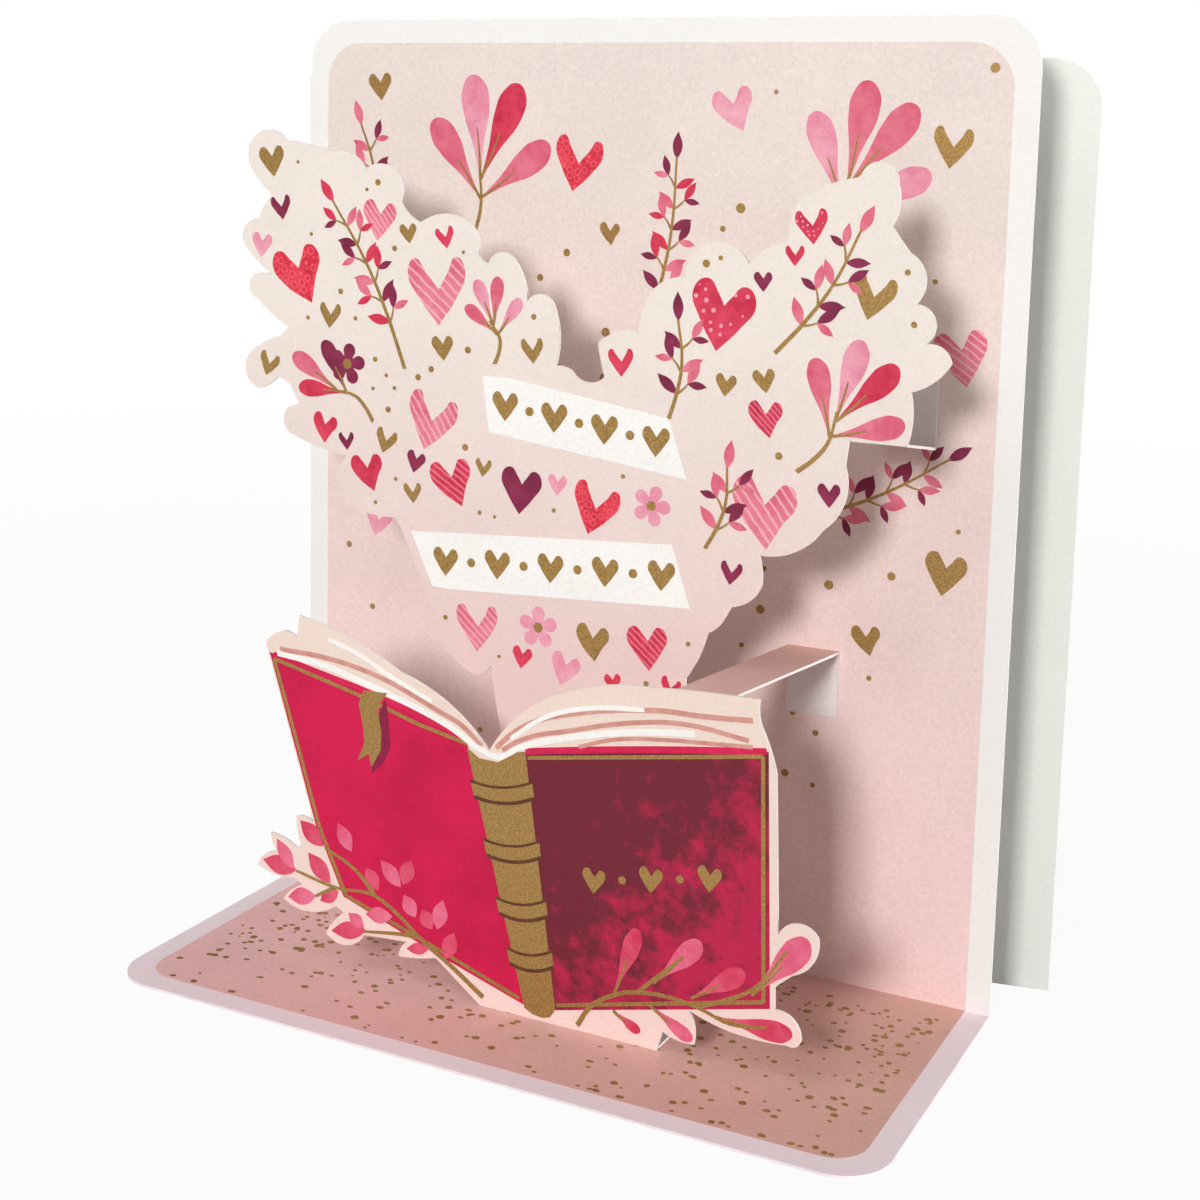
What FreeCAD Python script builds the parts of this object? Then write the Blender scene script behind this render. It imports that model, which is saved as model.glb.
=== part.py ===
import FreeCAD, Part
import math
import os

# A folded greeting card that stands open, with two die-cut pop-up panels.
# Millimetres. The origin is the middle of the floor flap's underside,
# X runs along the bottom fold, Y points back to the backdrop and Z is up.

# Board
board = 0.4
corner_radius = 7.5

# Folded card: floor flap, backdrop and rear panel
backdrop_width = 127.0
backdrop_height = 152.0
flap_depth = 55.0
rear_width = 133.0
rear_height = 146.5
rear_opening = 6.0
rear_bow = 2.6

# Pop-up panels: distance of each front face from the backdrop
heart_distance = 20.0
book_distance = 35.5
base_tab_depth = 8.0

# Straps that hold the panels off the backdrop
strap_width = 8.6
strap_tab_length = 10.6
heart_strap_front = (48.1, 91.3)
heart_strap_back = (46.4, 88.0)
book_strap_front = (27.0, 54.4)
book_strap_back = (32.6, 54.4)
page_over_strap = 0.9

# Feet of the panels on the floor flap, from left to right
heart_foot = (-5.5, 21.0)
book_foot = (-6.8, 23.3)

# Places worked out from the sizes above
fold_y = flap_depth / 2
heart_y = fold_y - heart_distance
book_y = fold_y - book_distance
foot_z = 1.5 * board
half_width = backdrop_width / 2
half_strap = strap_width / 2
rear_start = rear_opening - 2 * math.degrees(math.atan(2 * rear_bow / rear_width))

# Outline of the heart panel, clockwise from its upper left tip.
# Each entry is x, z and the bulge of the edge that leads to the next entry.
heart_left_top = [
    (-61.4, 127.6, 3.6), (-54.0, 131.7, 0.2), (-45.0, 130.1, 1.1), (-38.5, 127.5, 3.2),
    (-32.0, 122.5, -0.4), (-28.3, 119.4, 1.0), (-20.5, 120.4, 1.2), (-17.7, 115.0, -0.2),
    (-15.9, 113.5, 1.5), (-11.2, 114.4, 0.6), (-8.9, 108.1, 1.2), (-4.4, 108.2, 0.9),
]
heart_right_top = [
    (-3.7, 98.6, 0.2), (-1.0, 98.0, -1.3), (4.6, 97.4, 0.1), (3.4, 102.5, 0.9),
    (10.1, 104.6, 0.4), (11.9, 110.6, 0.8), (17.6, 113.2, 4.2), (27.5, 115.7, 0.6),
    (33.5, 119.3, 0.5), (35.0, 125.2, 0.6), (43.9, 128.6, 2.6), (49.4, 127.9, 0.7),
]
heart_right_side = [
    (48.8, 121.9, 0.0), (51.5, 118.4, 1.9), (52.7, 111.3, 2.2), (54.3, 105.8, 1.0),
    (58.2, 103.3, 0.7), (52.6, 98.9, 0.5),
    (heart_strap_front[0] + half_strap, heart_strap_front[1], 0.0),
    (heart_strap_front[0] - half_strap, heart_strap_front[1], 0.0),
    (43.4, 87.6, 1.7), (40.4, 77.8, 1.5), (30.7, 73.0, 0.2), (31.3, 68.6, 0.9),
    (26.5, 64.6, 0.0), (25.5, 62.7, 0.3), (22.8, 60.0, 0.4), (19.5, 52.6, 0.0),
]
heart_left_side = [
    (-14.5, 49.6, 0.5), (-17.6, 47.8, 0.7), (-24.0, 52.7, -0.5), (-32.5, 71.6, 0.2),
    (-40.9, 72.1, 2.2), (-42.2, 80.9, 0.4), (-53.2, 83.6, 2.4), (-51.3, 88.3, 0.0),
    (-53.2, 91.6, -0.2), (-55.8, 92.9, 0.3), (-59.5, 90.6, 2.1), (-61.1, 96.8, 0.4),
    (-55.3, 99.7, 0.0), (-53.6, 101.3, 0.3), (-59.9, 105.6, 2.1), (-58.9, 109.9, 0.1),
    (-56.9, 109.6, 0.3), (-62.5, 114.4, 0.9), (-61.2, 118.4, 0.1), (-59.5, 118.9, 0.3),
    (-56.9, 122.8, 0.3),
]

# Outline of the book panel, clockwise from the left corner of its pages
book_pages = [
    (-46.9, 52.4, 0.5), (-43.0, 54.9, 0.2), (-40.9, 54.0, 0.0), (-40.4, 57.7, 0.8),
    (-21.7, 51.3, 1.5), (-5.7, 41.4, 1.9), (9.3, 53.3, 0.5),
    (20.0, book_strap_front[1] + page_over_strap, 0.2), (37.7, 56.2, -0.2),
    (38.0, 52.6, 0.2), (40.6, 46.0, 0.0),
]
right_leaves = [
    (41.7, 22.4, 1.9), (47.7, 23.2, 1.4), (44.1, 16.9, 0.0), (41.5, 14.6, 0.0),
    (41.6, 11.2, 1.1), (45.7, 8.0, 0.8), (43.7, 6.3, 0.3), (34.7, 6.3, 0.2),
    (28.4, 8.0, 0.5), (29.3, 2.9, 0.4), (24.3, 3.7, 0.0),
]
left_leaves = [
    (-14.7, 6.4, 0.2), (-21.5, 5.2, 0.4), (-20.0, 7.9, 0.0), (-28.1, 7.3, 1.9),
    (-35.3, 6.1, 0.3), (-31.9, 10.2, 0.0), (-33.4, 11.0, 0.2), (-37.2, 9.2, 0.7),
    (-43.6, 10.2, 0.4), (-39.9, 13.2, 0.0), (-41.3, 14.2, 0.7), (-48.6, 14.9, 0.9),
    (-44.8, 17.8, 0.3), (-46.0, 20.9, 0.4), (-41.0, 19.3, 0.0), (-40.1, 20.0, 0.3),
    (-41.0, 24.6, 0.5), (-37.6, 24.0, 0.0),
]


def point(x, y, z):
    return FreeCAD.Vector(x, y, z)


def cut_edge(start, end, y):
    """A straight or bulging edge in the plane at y, bulging left of its direction."""
    first, last = point(start[0], y, start[1]), point(end[0], y, end[1])
    bulge = start[2]
    if bulge == 0:
        return Part.makeLine(first, last)
    run = last - first
    outward = point(-run.z, 0, run.x) * (bulge / run.Length)
    return Part.Arc(first, (first + last) * 0.5 + outward, last).toShape()


def die_cut(outline, y):
    """A sheet of board with its front face in the plane at y, cut to the outline."""
    edges = []
    for start, end in zip(outline, outline[1:] + outline[:1]):
        edges.append(cut_edge(start, end, y))
    face = Part.Face(Part.Wire(edges))
    return face.extrude(point(0, board, 0))


def fold_rod(x_start, x_end, y, z):
    """The rounded board of a fold that runs along X."""
    return Part.makeCylinder(board / 2, x_end - x_start, point(x_start, y, z), point(1, 0, 0))


def base_tab(foot, front_y):
    """The glue tab under a panel, folded back onto the floor flap."""
    left, right = foot
    middle_y = front_y + board / 2
    plate = Part.makeBox(
        right - left, base_tab_depth - board / 2, board, point(left, middle_y, board))
    return fold_rod(left, right, middle_y, foot_z).fuse(plate)


def strap(front, back, panel_y, tab_direction):
    """A strap from a panel to the backdrop and its glue tab, which turns up or down."""
    front_y, back_y = panel_y + board / 2, fold_y - board / 2
    corners = [
        point(front[0] - half_strap, front_y, front[1] - board / 2),
        point(front[0] + half_strap, front_y, front[1] - board / 2),
        point(back[0] + half_strap, back_y, back[1] - board / 2),
        point(back[0] - half_strap, back_y, back[1] - board / 2),
    ]
    bridge = Part.Face(Part.makePolygon(corners + corners[:1])).extrude(point(0, 0, board))
    low_z = min(back[1], back[1] + tab_direction * strap_tab_length)
    tab = Part.makeBox(
        strap_width, board, strap_tab_length, point(back[0] - half_strap, fold_y - board, low_z))
    front_fold = fold_rod(front[0] - half_strap, front[0] + half_strap, front_y, front[1])
    back_fold = fold_rod(back[0] - half_strap, back[0] + half_strap, back_y, back[1])
    return bridge.fuse([tab, front_fold, back_fold])


def rounded_sheet(width, height, radius):
    """A sheet in the XZ plane from its lower left corner, with rounded upper corners."""
    turn = radius * (1 - math.sqrt(0.5))
    start = point(0, 0, 0)
    left_top, top_left = point(0, 0, height - radius), point(radius, 0, height)
    top_right, right_top = point(width - radius, 0, height), point(width, 0, height - radius)
    edges = [
        Part.makeLine(start, left_top),
        Part.Arc(left_top, point(turn, 0, height - turn), top_left).toShape(),
        Part.makeLine(top_left, top_right),
        Part.Arc(top_right, point(width - turn, 0, height - turn), right_top).toShape(),
        Part.makeLine(right_top, point(width, 0, 0)),
        Part.makeLine(point(width, 0, 0), start),
    ]
    return Part.Face(Part.Wire(edges))


def make_backdrop():
    """The backdrop stands on the bottom fold, between the side fold and its free edge."""
    face = rounded_sheet(backdrop_width - board, backdrop_height - board, corner_radius)
    face.translate(point(board - half_width, fold_y, board))
    return face.extrude(point(0, board, 0))


def make_floor_flap():
    """The flap lies in front of the bottom fold, with rounded front corners."""
    face = rounded_sheet(backdrop_width, flap_depth, corner_radius)
    face.rotate(point(0, 0, 0), point(1, 0, 0), 90)
    face.translate(point(-half_width, fold_y, 0))
    flap = face.extrude(point(0, 0, board))
    rod = Part.makeCylinder(
        board, backdrop_width - board, point(board - half_width, fold_y, board), point(1, 0, 0))
    behind = Part.makeBox(
        backdrop_width, board, board, point(-half_width, fold_y, 0))
    return flap.fuse(rod.common(behind))


def make_rear_panel():
    """The rear panel leaves the side fold at a small angle and bows away at its free edge."""
    fold = point(board - half_width, fold_y + board, 0)
    opening = math.radians(rear_opening)
    along = point(math.cos(opening), math.sin(opening), 0)
    away = point(-math.sin(opening), math.cos(opening), 0)
    radius = (rear_width ** 2 / 4 + rear_bow ** 2) / (2 * rear_bow)
    centre = fold + along * (rear_width / 2) + away * (radius - rear_bow)
    inner = [fold, fold + along * (rear_width / 2) - away * rear_bow, fold + along * rear_width]
    outer = [centre + (p - centre) * ((radius - board) / radius) for p in inner]
    edges = [
        Part.Arc(*inner).toShape(),
        Part.makeLine(inner[2], outer[2]),
        Part.Arc(*outer).toShape(),
        Part.makeLine(outer[0], inner[0]),
    ]
    bowed = Part.Face(Part.Wire(Part.sortEdges(edges)[0])).extrude(point(0, 0, rear_height))
    face = rounded_sheet(inner[2].x - fold.x + board, rear_height, corner_radius)
    face.translate(point(fold.x - board, fold_y, 0))
    return bowed.common(face.extrude(point(0, rear_width, 0)))


def make_side_fold():
    """The rounded fold that joins backdrop and rear panel, up to the rounded corners."""
    centre = point(board - half_width, fold_y + board, board)
    height = rear_height - corner_radius / 2 - board
    fold = Part.makeCylinder(board, height, centre, point(0, 0, 1), 180 - rear_start)
    fold.rotate(centre, point(0, 0, 1), 90 + rear_start)
    return fold


def make_card():
    parts = [make_floor_flap(), make_rear_panel(), make_side_fold()]
    return make_backdrop().fuse(parts)


def make_heart_panel():
    left, right = heart_foot
    stem = [(right, foot_z, 0.0), (left, foot_z, 0.0)]
    outline = heart_left_top + heart_right_top + heart_right_side + stem + heart_left_side
    return die_cut(outline, heart_y).fuse([
        base_tab(heart_foot, heart_y),
        strap(heart_strap_front, heart_strap_back, heart_y, 1),
    ])


def make_book_panel():
    left, right = book_foot
    foot = [(right, foot_z, 0.0), (left, foot_z, 0.0)]
    outline = book_pages + right_leaves + foot + left_leaves
    return die_cut(outline, book_y).fuse([
        base_tab(book_foot, book_y),
        strap(book_strap_front, book_strap_back, book_y, -1),
    ])


os.makedirs("parts", exist_ok=True)
nodes = {
    "folded_card": make_card(),
    "heart_panel": make_heart_panel(),
    "book_panel": make_book_panel(),
}
for name, shape in nodes.items():
    solid = shape.removeSplitter()
    print(name, len(solid.Solids), solid.isValid(), round(solid.Volume, 1), solid.BoundBox)
    solid.exportStep("parts/" + name + ".step")
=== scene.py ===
import math
import random

import bpy
from mathutils import Matrix, Vector


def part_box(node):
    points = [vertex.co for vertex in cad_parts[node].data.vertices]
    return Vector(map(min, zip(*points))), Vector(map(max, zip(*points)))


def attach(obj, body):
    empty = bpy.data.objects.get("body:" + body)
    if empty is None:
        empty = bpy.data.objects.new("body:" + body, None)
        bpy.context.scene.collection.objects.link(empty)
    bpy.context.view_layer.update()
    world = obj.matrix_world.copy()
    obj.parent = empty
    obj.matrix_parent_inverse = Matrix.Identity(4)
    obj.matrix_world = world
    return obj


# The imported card, and places that the print and the stage are measured from
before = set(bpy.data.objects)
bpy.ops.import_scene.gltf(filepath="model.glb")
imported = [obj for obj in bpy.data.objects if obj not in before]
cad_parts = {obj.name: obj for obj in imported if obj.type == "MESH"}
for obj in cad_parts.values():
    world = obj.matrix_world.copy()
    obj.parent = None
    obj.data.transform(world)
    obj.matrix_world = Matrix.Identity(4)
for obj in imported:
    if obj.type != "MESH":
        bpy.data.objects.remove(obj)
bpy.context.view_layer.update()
mm = 0.001
cardLow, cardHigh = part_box("folded_card")
heartLow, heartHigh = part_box("heart_panel")
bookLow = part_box("book_panel")[0]
boardThickness = heartLow.z        # the heart's base tab lies on the floor flap
backdropFront = heartHigh.y        # its strap's glue tab lies on the backdrop
halfWidth = -cardLow.x / mm
cardHeight = cardHigh.z / mm
flapDepth = (backdropFront - cardLow.y) / mm
print("frame loaded: card", round(2 * halfWidth, 1), "by", round(cardHeight, 1), "mm")


# Camera
cameraSetup = {
    "place": (131.38, -247.16, 133.41),     # mm
    "yaw": 26.57, "pitch": 8.51, "roll": 1.29,
    "focalPixels": 1895.44,
    "imageWidth": 1200,
    "sensor": 36.0,
    "shiftY": -0.15,
}


def makeCamera(setup):
    bpy.ops.object.camera_add()
    camera = bpy.context.object
    camera.name = "viewCamera"
    camera.data.sensor_width = setup["sensor"]
    camera.data.lens = setup["focalPixels"] / setup["imageWidth"] * setup["sensor"]
    camera.data.shift_y = setup["shiftY"]
    camera.data.clip_start = 0.01
    turn = Matrix.Rotation(math.radians(setup["yaw"]), 4, "Z")
    tilt = Matrix.Rotation(math.radians(90 - setup["pitch"]), 4, "X")
    roll = Matrix.Rotation(math.radians(setup["roll"]), 4, "Z")
    place = Matrix.Translation(Vector(setup["place"]) * mm)
    camera.matrix_world = place @ turn @ tilt @ roll
    bpy.context.scene.camera = camera


makeCamera(cameraSetup)
print("camera set")


# Colours are written as they look on screen, from 0 to 255
def colour(red, green, blue):
    linear = []
    for value in (red, green, blue):
        share = value / 255
        linear.append(share / 12.92 if share <= 0.04045 else ((share + 0.055) / 1.055) ** 2.4)
    return (*linear, 1.0)


def newMaterial(name):
    material = bpy.data.materials.new(name)
    material.use_nodes = True
    return material, material.node_tree, material.node_tree.nodes["Principled BSDF"]


def feed(tree, socket, value):
    # value is a socket to link from, or a fixed value
    if isinstance(value, bpy.types.NodeSocket):
        tree.links.new(value, socket)
    else:
        socket.default_value = value


def addNode(tree, kind, **inputs):
    node = tree.nodes.new(kind)
    for key, value in inputs.items():
        feed(tree, node.inputs[key.replace("_", " ")], value)
    return node


def mixColours(tree, factor, first, second):
    mix = tree.nodes.new("ShaderNodeMix")
    mix.data_type = "RGBA"
    for socket, value in ((mix.inputs[0], factor), (mix.inputs[6], first), (mix.inputs[7], second)):
        feed(tree, socket, value)
    return mix.outputs[2]


def ramp(tree, value, low, high, lowOut=0.0, highOut=1.0):
    scale = addNode(
        tree, "ShaderNodeMapRange", Value=value, From_Min=low, From_Max=high, To_Min=lowOut, To_Max=highOut)
    return scale.outputs["Result"]


def maths(tree, operation, *values, clamp=False):
    node = tree.nodes.new("ShaderNodeMath")
    node.operation = operation
    node.use_clamp = clamp
    for socket, value in zip(node.inputs, values):
        feed(tree, socket, value)
    return node.outputs[0]


def objectPlace(tree):
    return tree.nodes.new("ShaderNodeTexCoord").outputs["Object"]


def splitOff(tree, vector, axis):
    return addNode(tree, "ShaderNodeSeparateXYZ", Vector=vector).outputs[axis]


def groupSockets(group, inputs, outputs):
    for name, kind, value in inputs:
        socket = group.interface.new_socket(name, in_out="INPUT", socket_type=kind)
        socket.default_value = value
    for name, kind in outputs:
        group.interface.new_socket(name, in_out="OUTPUT", socket_type=kind)
    return group.nodes.new("NodeGroupInput"), group.nodes.new("NodeGroupOutput")


def noise(tree, coordinates, scale, detail=2.0, roughness=0.5):
    node = addNode(
        tree, "ShaderNodeTexNoise", Vector=coordinates, Scale=scale, Detail=detail, Roughness=roughness)
    return node.outputs["Fac"]


# Fibre and print grain that every board and ink shares
grainScales = {"fibre": 2600.0, "tooth": 1500.0, "cloud": 90.0}     # per metre


def makeGrainGroup():
    group = bpy.data.node_groups.new("paperGrain", "ShaderNodeTree")
    start, end = groupSockets(
        group,
        [("Color", "NodeSocketColor", (1, 1, 1, 1)), ("Grain", "NodeSocketFloat", 0.1)],
        [("Color", "NodeSocketColor"), ("Height", "NodeSocketFloat")],
    )
    place = objectPlace(group)
    tooth = noise(group, place, grainScales["tooth"], detail=2.0, roughness=0.7)
    cloud = noise(group, place, grainScales["cloud"], detail=1.0)
    fibre = noise(group, place, grainScales["fibre"], detail=0.0)
    mottle = maths(group, "MULTIPLY_ADD", cloud, 0.35, tooth)
    swing = ramp(group, mottle, 0.40, 0.95, 1.0, -1.0)
    amount = maths(group, "MULTIPLY_ADD", swing, start.outputs["Grain"], 1.0)
    tint = group.nodes.new("ShaderNodeVectorMath")
    tint.operation = "SCALE"
    group.links.new(start.outputs["Color"], tint.inputs[0])
    group.links.new(amount, tint.inputs["Scale"])
    group.links.new(tint.outputs[0], end.inputs["Color"])
    group.links.new(fibre, end.inputs["Height"])
    return group


# A wash of two tones in soft blotches, as in a water-colour print
def makeWashGroup():
    group = bpy.data.node_groups.new("colourWash", "ShaderNodeTree")
    start, end = groupSockets(
        group,
        [
            ("Deep", "NodeSocketColor", (1, 1, 1, 1)),
            ("Light", "NodeSocketColor", (1, 1, 1, 1)),
            ("Scale", "NodeSocketFloat", 200.0),
            ("Along", "NodeSocketFloat", 0.5),
        ],
        [("Color", "NodeSocketColor")],
    )
    coordinates = group.nodes.new("ShaderNodeTexCoord")
    blotch = noise(
        group, coordinates.outputs["Object"], start.outputs["Scale"], detail=3.0, roughness=0.62)
    pooled = ramp(group, blotch, 0.36, 0.66)
    along = ramp(group, splitOff(group, coordinates.outputs["UV"], "Y"), -0.2, 1.1)
    share = group.nodes.new("ShaderNodeMix")
    group.links.new(start.outputs["Along"], share.inputs[0])
    group.links.new(pooled, share.inputs[2])
    group.links.new(along, share.inputs[3])
    shade = mixColours(group, share.outputs[0], start.outputs["Light"], start.outputs["Deep"])
    group.links.new(shade, end.inputs["Color"])
    return group


grainGroup = makeGrainGroup()
washGroup = makeWashGroup()


def useGroup(tree, group, **inputs):
    node = tree.nodes.new("ShaderNodeGroup")
    node.node_tree = group
    for key, value in inputs.items():
        feed(tree, node.inputs[key], value)
    return node


def finishPaper(tree, shader, shade, grain, bump, roughness):
    # the last nodes of every paper and ink: grain in the colour and fibres in the surface
    paper = useGroup(tree, grainGroup, Color=shade, Grain=grain)
    tree.links.new(paper.outputs["Color"], shader.inputs["Base Color"])
    relief = addNode(tree, "ShaderNodeBump", Strength=bump, Distance=0.00006)
    tree.links.new(paper.outputs["Height"], relief.inputs["Height"])
    tree.links.new(relief.outputs["Normal"], shader.inputs["Normal"])
    shader.inputs["Roughness"].default_value = roughness
    shader.inputs["Specular IOR Level"].default_value = 0.28


# Board
boardColours = {
    "white": colour(246, 245, 241),
    # pink tint on the flap's white margin: partly the print's own tint, partly painted bounce light from the
    # pink print
    "flapMarginInkAndBounceTint": colour(248, 234, 238),
    "cutEdge": colour(236, 228, 224),
    # a greyer copy of the white board for the rear panel and the backs behind the backdrop's front: painted
    # shade
    "inside": colour(231, 232, 226),
    "strap": colour(222, 182, 172),
}
boardFinish = {"bump": 0.25, "roughness": 0.62}
cardFades = {"behind": (0.5, 1.5), "raised": (0.5, 2.5)}     # mm from the backdrop's front and the floor


def facing(tree, axis, sign):
    # 1 on faces that look along the axis, 0 elsewhere
    normal = tree.nodes.new("ShaderNodeNewGeometry").outputs["Normal"]
    return ramp(tree, splitOff(tree, normal, axis), 0.55 * sign, 0.75 * sign)


def placeAlong(tree, axis):
    return splitOff(tree, objectPlace(tree), axis)


def both(tree, first, second):
    return maths(tree, "MULTIPLY", first, second)


def makeCardBoard(fades):
    material, tree, shader = newMaterial("cardBoardWhite")
    near, far = fades["behind"]
    behind = ramp(tree, placeAlong(tree, "Y"), backdropFront + near * mm, backdropFront + far * mm)
    low, high = fades["raised"]
    raised = ramp(tree, placeAlong(tree, "Z"), low * mm, high * mm)
    # near the floor the white margin takes a pink tint, partly print and partly painted bounce light
    marginWithBounceTint = mixColours(tree, raised, boardColours["flapMarginInkAndBounceTint"], boardColours["white"])
    # behind the backdrop's front the board takes the greyer copy: painted shade
    shade = mixColours(tree, behind, marginWithBounceTint, boardColours["inside"])
    finishPaper(tree, shader, shade, 0.03, boardFinish["bump"], boardFinish["roughness"])
    return material


panelGround = {
    "heart": {"high": colour(241, 231, 221), "low": colour(237, 209, 205), "from": 0.050, "to": 0.105},
    "book": {"high": colour(242, 223, 209), "low": colour(246, 220, 212), "from": 0.004, "to": 0.030},
}
panelFades = {"front": (0.15, 0.1), "strap": (0.5, 0.6), "strapHeight": (30, 31)}     # mm


def makePanelBoard(name, ground, frontY, strapNormal):
    # printed on its front and on the side of the strap that continues it, plain elsewhere
    material, tree, shader = newMaterial(name + "Board")
    height = ramp(tree, placeAlong(tree, "Z"), ground["from"], ground["to"])
    printedFront = mixColours(tree, height, ground["low"], ground["high"])
    frontFrom, frontTo = (frontY + depth * mm for depth in panelFades["front"])
    nearFront = ramp(tree, placeAlong(tree, "Y"), frontFrom, frontTo)
    front = both(tree, facing(tree, "Y", -1), nearFront)
    shade = mixColours(tree, front, boardColours["cutEdge"], printedFront)
    lowZ, highZ = (level * mm for level in panelFades["strapHeight"])
    strap = both(tree, facing(tree, "Z", strapNormal), ramp(tree, placeAlong(tree, "Z"), lowZ, highZ))
    strapFrom, strapTo = (frontY + depth * mm for depth in panelFades["strap"])
    strap = both(tree, strap, ramp(tree, placeAlong(tree, "Y"), strapFrom, strapTo))
    shade = mixColours(tree, strap, shade, boardColours["strap"])
    finishPaper(tree, shader, shade, 0.05, boardFinish["bump"], boardFinish["roughness"])
    return material


def dress(node, material):
    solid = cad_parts[node]
    solid.data.materials.clear()
    solid.data.materials.append(material)


dress("folded_card", makeCardBoard(cardFades))
dress("heart_panel", makePanelBoard("heart", panelGround["heart"], heartLow.y, -1))
dress("book_panel", makePanelBoard("book", panelGround["book"], bookLow.y, 1))
print("boards dressed")


# Inks: two tones of each, how far the tone follows the motif, and the size of its blotches
inkTones = {
    "Crimson": {"deep": (196, 32, 66), "light": (226, 70, 96), "along": 0.3, "scale": 330.0},
    "Rose": {"deep": (214, 78, 106), "light": (238, 140, 158), "along": 0.55, "scale": 260.0},
    "Blush": {"deep": (230, 128, 156), "light": (243, 176, 192), "along": 0.4, "scale": 240.0},
    "Coral": {"deep": (206, 44, 78), "light": (234, 104, 132), "along": 0.55, "scale": 300.0},
    "PaleCoral": {"deep": (220, 76, 112), "light": (240, 132, 160), "along": 0.5, "scale": 280.0},
    "Maroon": {"deep": (112, 24, 58), "light": (148, 46, 82), "along": 0.35, "scale": 300.0},
    "Scarlet": {"deep": (206, 30, 58), "light": (234, 66, 84), "along": 0.2, "scale": 350.0},
    "White": {"deep": (250, 249, 243), "light": (252, 251, 247), "along": 0.1, "scale": 120.0},
    "PageLine": {"deep": (206, 142, 128), "light": (219, 164, 150), "along": 0.0, "scale": 400.0},
    "Rim": {"deep": (206, 26, 74), "light": (222, 36, 88), "along": 0.0, "scale": 200.0},
    "Shade": {"deep": (126, 26, 60), "light": (146, 28, 70), "along": 0.0, "scale": 300.0},
    "Bark": {"deep": (84, 48, 30), "light": (104, 64, 36), "along": 0.0, "scale": 500.0},
}

# Inks with a second, paler ink drawn over them
patternInks = {
    "CrimsonHatch": {"base": "Crimson", "over": (240, 146, 160), "pattern": "hatch", "strength": 0.7},
    "RoseHatch": {"base": "Rose", "over": (250, 196, 204), "pattern": "hatch", "strength": 0.65},
    "CrimsonSpots": {"base": "Crimson", "over": (244, 168, 184), "pattern": "spots", "strength": 0.85},
    "ScarletRings": {"base": "Scarlet", "over": (246, 112, 122), "pattern": "rings", "strength": 0.6},
}
patternScale = 3.4     # spots and rings across the half size of a motif


def makePatternGroup():
    # masks in the motif's own UV: slanting strokes, round spots and small rings
    group = bpy.data.node_groups.new("inkPatterns", "ShaderNodeTree")
    start, end = groupSockets(
        group,
        [("Scale", "NodeSocketFloat", patternScale)],
        [("hatch", "NodeSocketFloat"), ("spots", "NodeSocketFloat"), ("rings", "NodeSocketFloat")],
    )
    place = group.nodes.new("ShaderNodeTexCoord").outputs["UV"]
    strokes = group.nodes.new("ShaderNodeTexWave")
    strokes.bands_direction = "DIAGONAL"
    strokes.inputs["Distortion"].default_value = 1.6
    strokes.inputs["Detail Scale"].default_value = 1.4
    cells = group.nodes.new("ShaderNodeTexVoronoi")
    cells.inputs["Randomness"].default_value = 0.45
    for texture in (strokes, cells):
        group.links.new(place, texture.inputs["Vector"])
    group.links.new(start.outputs["Scale"], cells.inputs["Scale"])
    strokeScale = maths(group, "MULTIPLY", start.outputs["Scale"], 0.55)
    group.links.new(strokeScale, strokes.inputs["Scale"])
    distance = cells.outputs["Distance"]
    rings = both(group, ramp(group, distance, 0.30, 0.38), ramp(group, distance, 0.50, 0.42))
    group.links.new(ramp(group, strokes.outputs["Fac"], 0.72, 0.9), end.inputs["hatch"])
    group.links.new(ramp(group, distance, 0.27, 0.22), end.inputs["spots"])
    group.links.new(rings, end.inputs["rings"])
    return group


patternGroup = makePatternGroup()


def makeInk(name, tones, cover=None):
    material, tree, shader = newMaterial("ink" + name)
    wash = useGroup(
        tree, washGroup, Deep=colour(*tones["deep"]), Light=colour(*tones["light"]),
        Scale=tones["scale"], Along=tones["along"])
    shade = wash.outputs["Color"]
    if cover:
        masks = useGroup(tree, patternGroup, Scale=patternScale)
        share = ramp(tree, masks.outputs[cover["pattern"]], 0.0, 1.0, 0.0, cover["strength"])
        shade = mixColours(tree, share, shade, colour(*cover["over"]))
    finishPaper(tree, shader, shade, 0.07, 0.2, 0.58)
    return material


# Gold ink: a dull foil with fine speckle
goldInk = {"deep": (142, 108, 54), "light": (184, 148, 88), "metal": 0.35, "roughness": 0.46}


def makeGold():
    material, tree, shader = newMaterial("inkGold")
    place = objectPlace(tree)
    speckle = ramp(tree, noise(tree, place, 3200.0, detail=2.0, roughness=0.8), 0.34, 0.66)
    shade = mixColours(tree, speckle, colour(*goldInk["deep"]), colour(*goldInk["light"]))
    finishPaper(tree, shader, shade, 0.06, 0.35, goldInk["roughness"])
    shader.inputs["Metallic"].default_value = goldInk["metal"]
    return material


# Fields of colour: the pink grounds and the mottled covers
fieldTones = {
    "BackdropGround": {
        "axis": "Z", "from": 0.020, "to": 0.130, "low": (247, 216, 212), "high": (236, 223, 215)},
    # the flap's pink: partly its print, partly painted shade; darker and dustier than the backdrop's, and
    # darker towards the right
    "FlapGround": {
        "axis": "X", "from": -0.060, "to": 0.060, "low": (240, 194, 192), "high": (222, 176, 162)},
}


def makeField(name, tones):
    material, tree, shader = newMaterial("field" + name)
    height = ramp(tree, placeAlong(tree, tones["axis"]), tones["from"], tones["to"])
    shade = mixColours(tree, height, colour(*tones["low"]), colour(*tones["high"]))
    finishPaper(tree, shader, shade, 0.08, 0.25, 0.6)
    return material


coverTones = {
    "LeftCover": {
        "deep": (190, 15, 66), "light": (214, 20, 78), "scale": 60.0, "from": 0.34, "to": 0.58,
        "lean": (0.0, 0.0, 0.0)},
    "RightCover": {
        "deep": (112, 32, 48), "light": (190, 32, 76), "scale": 230.0, "from": 0.47, "to": 0.66,
        "lean": (8.0, 0.0, -6.5)},
}


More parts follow.
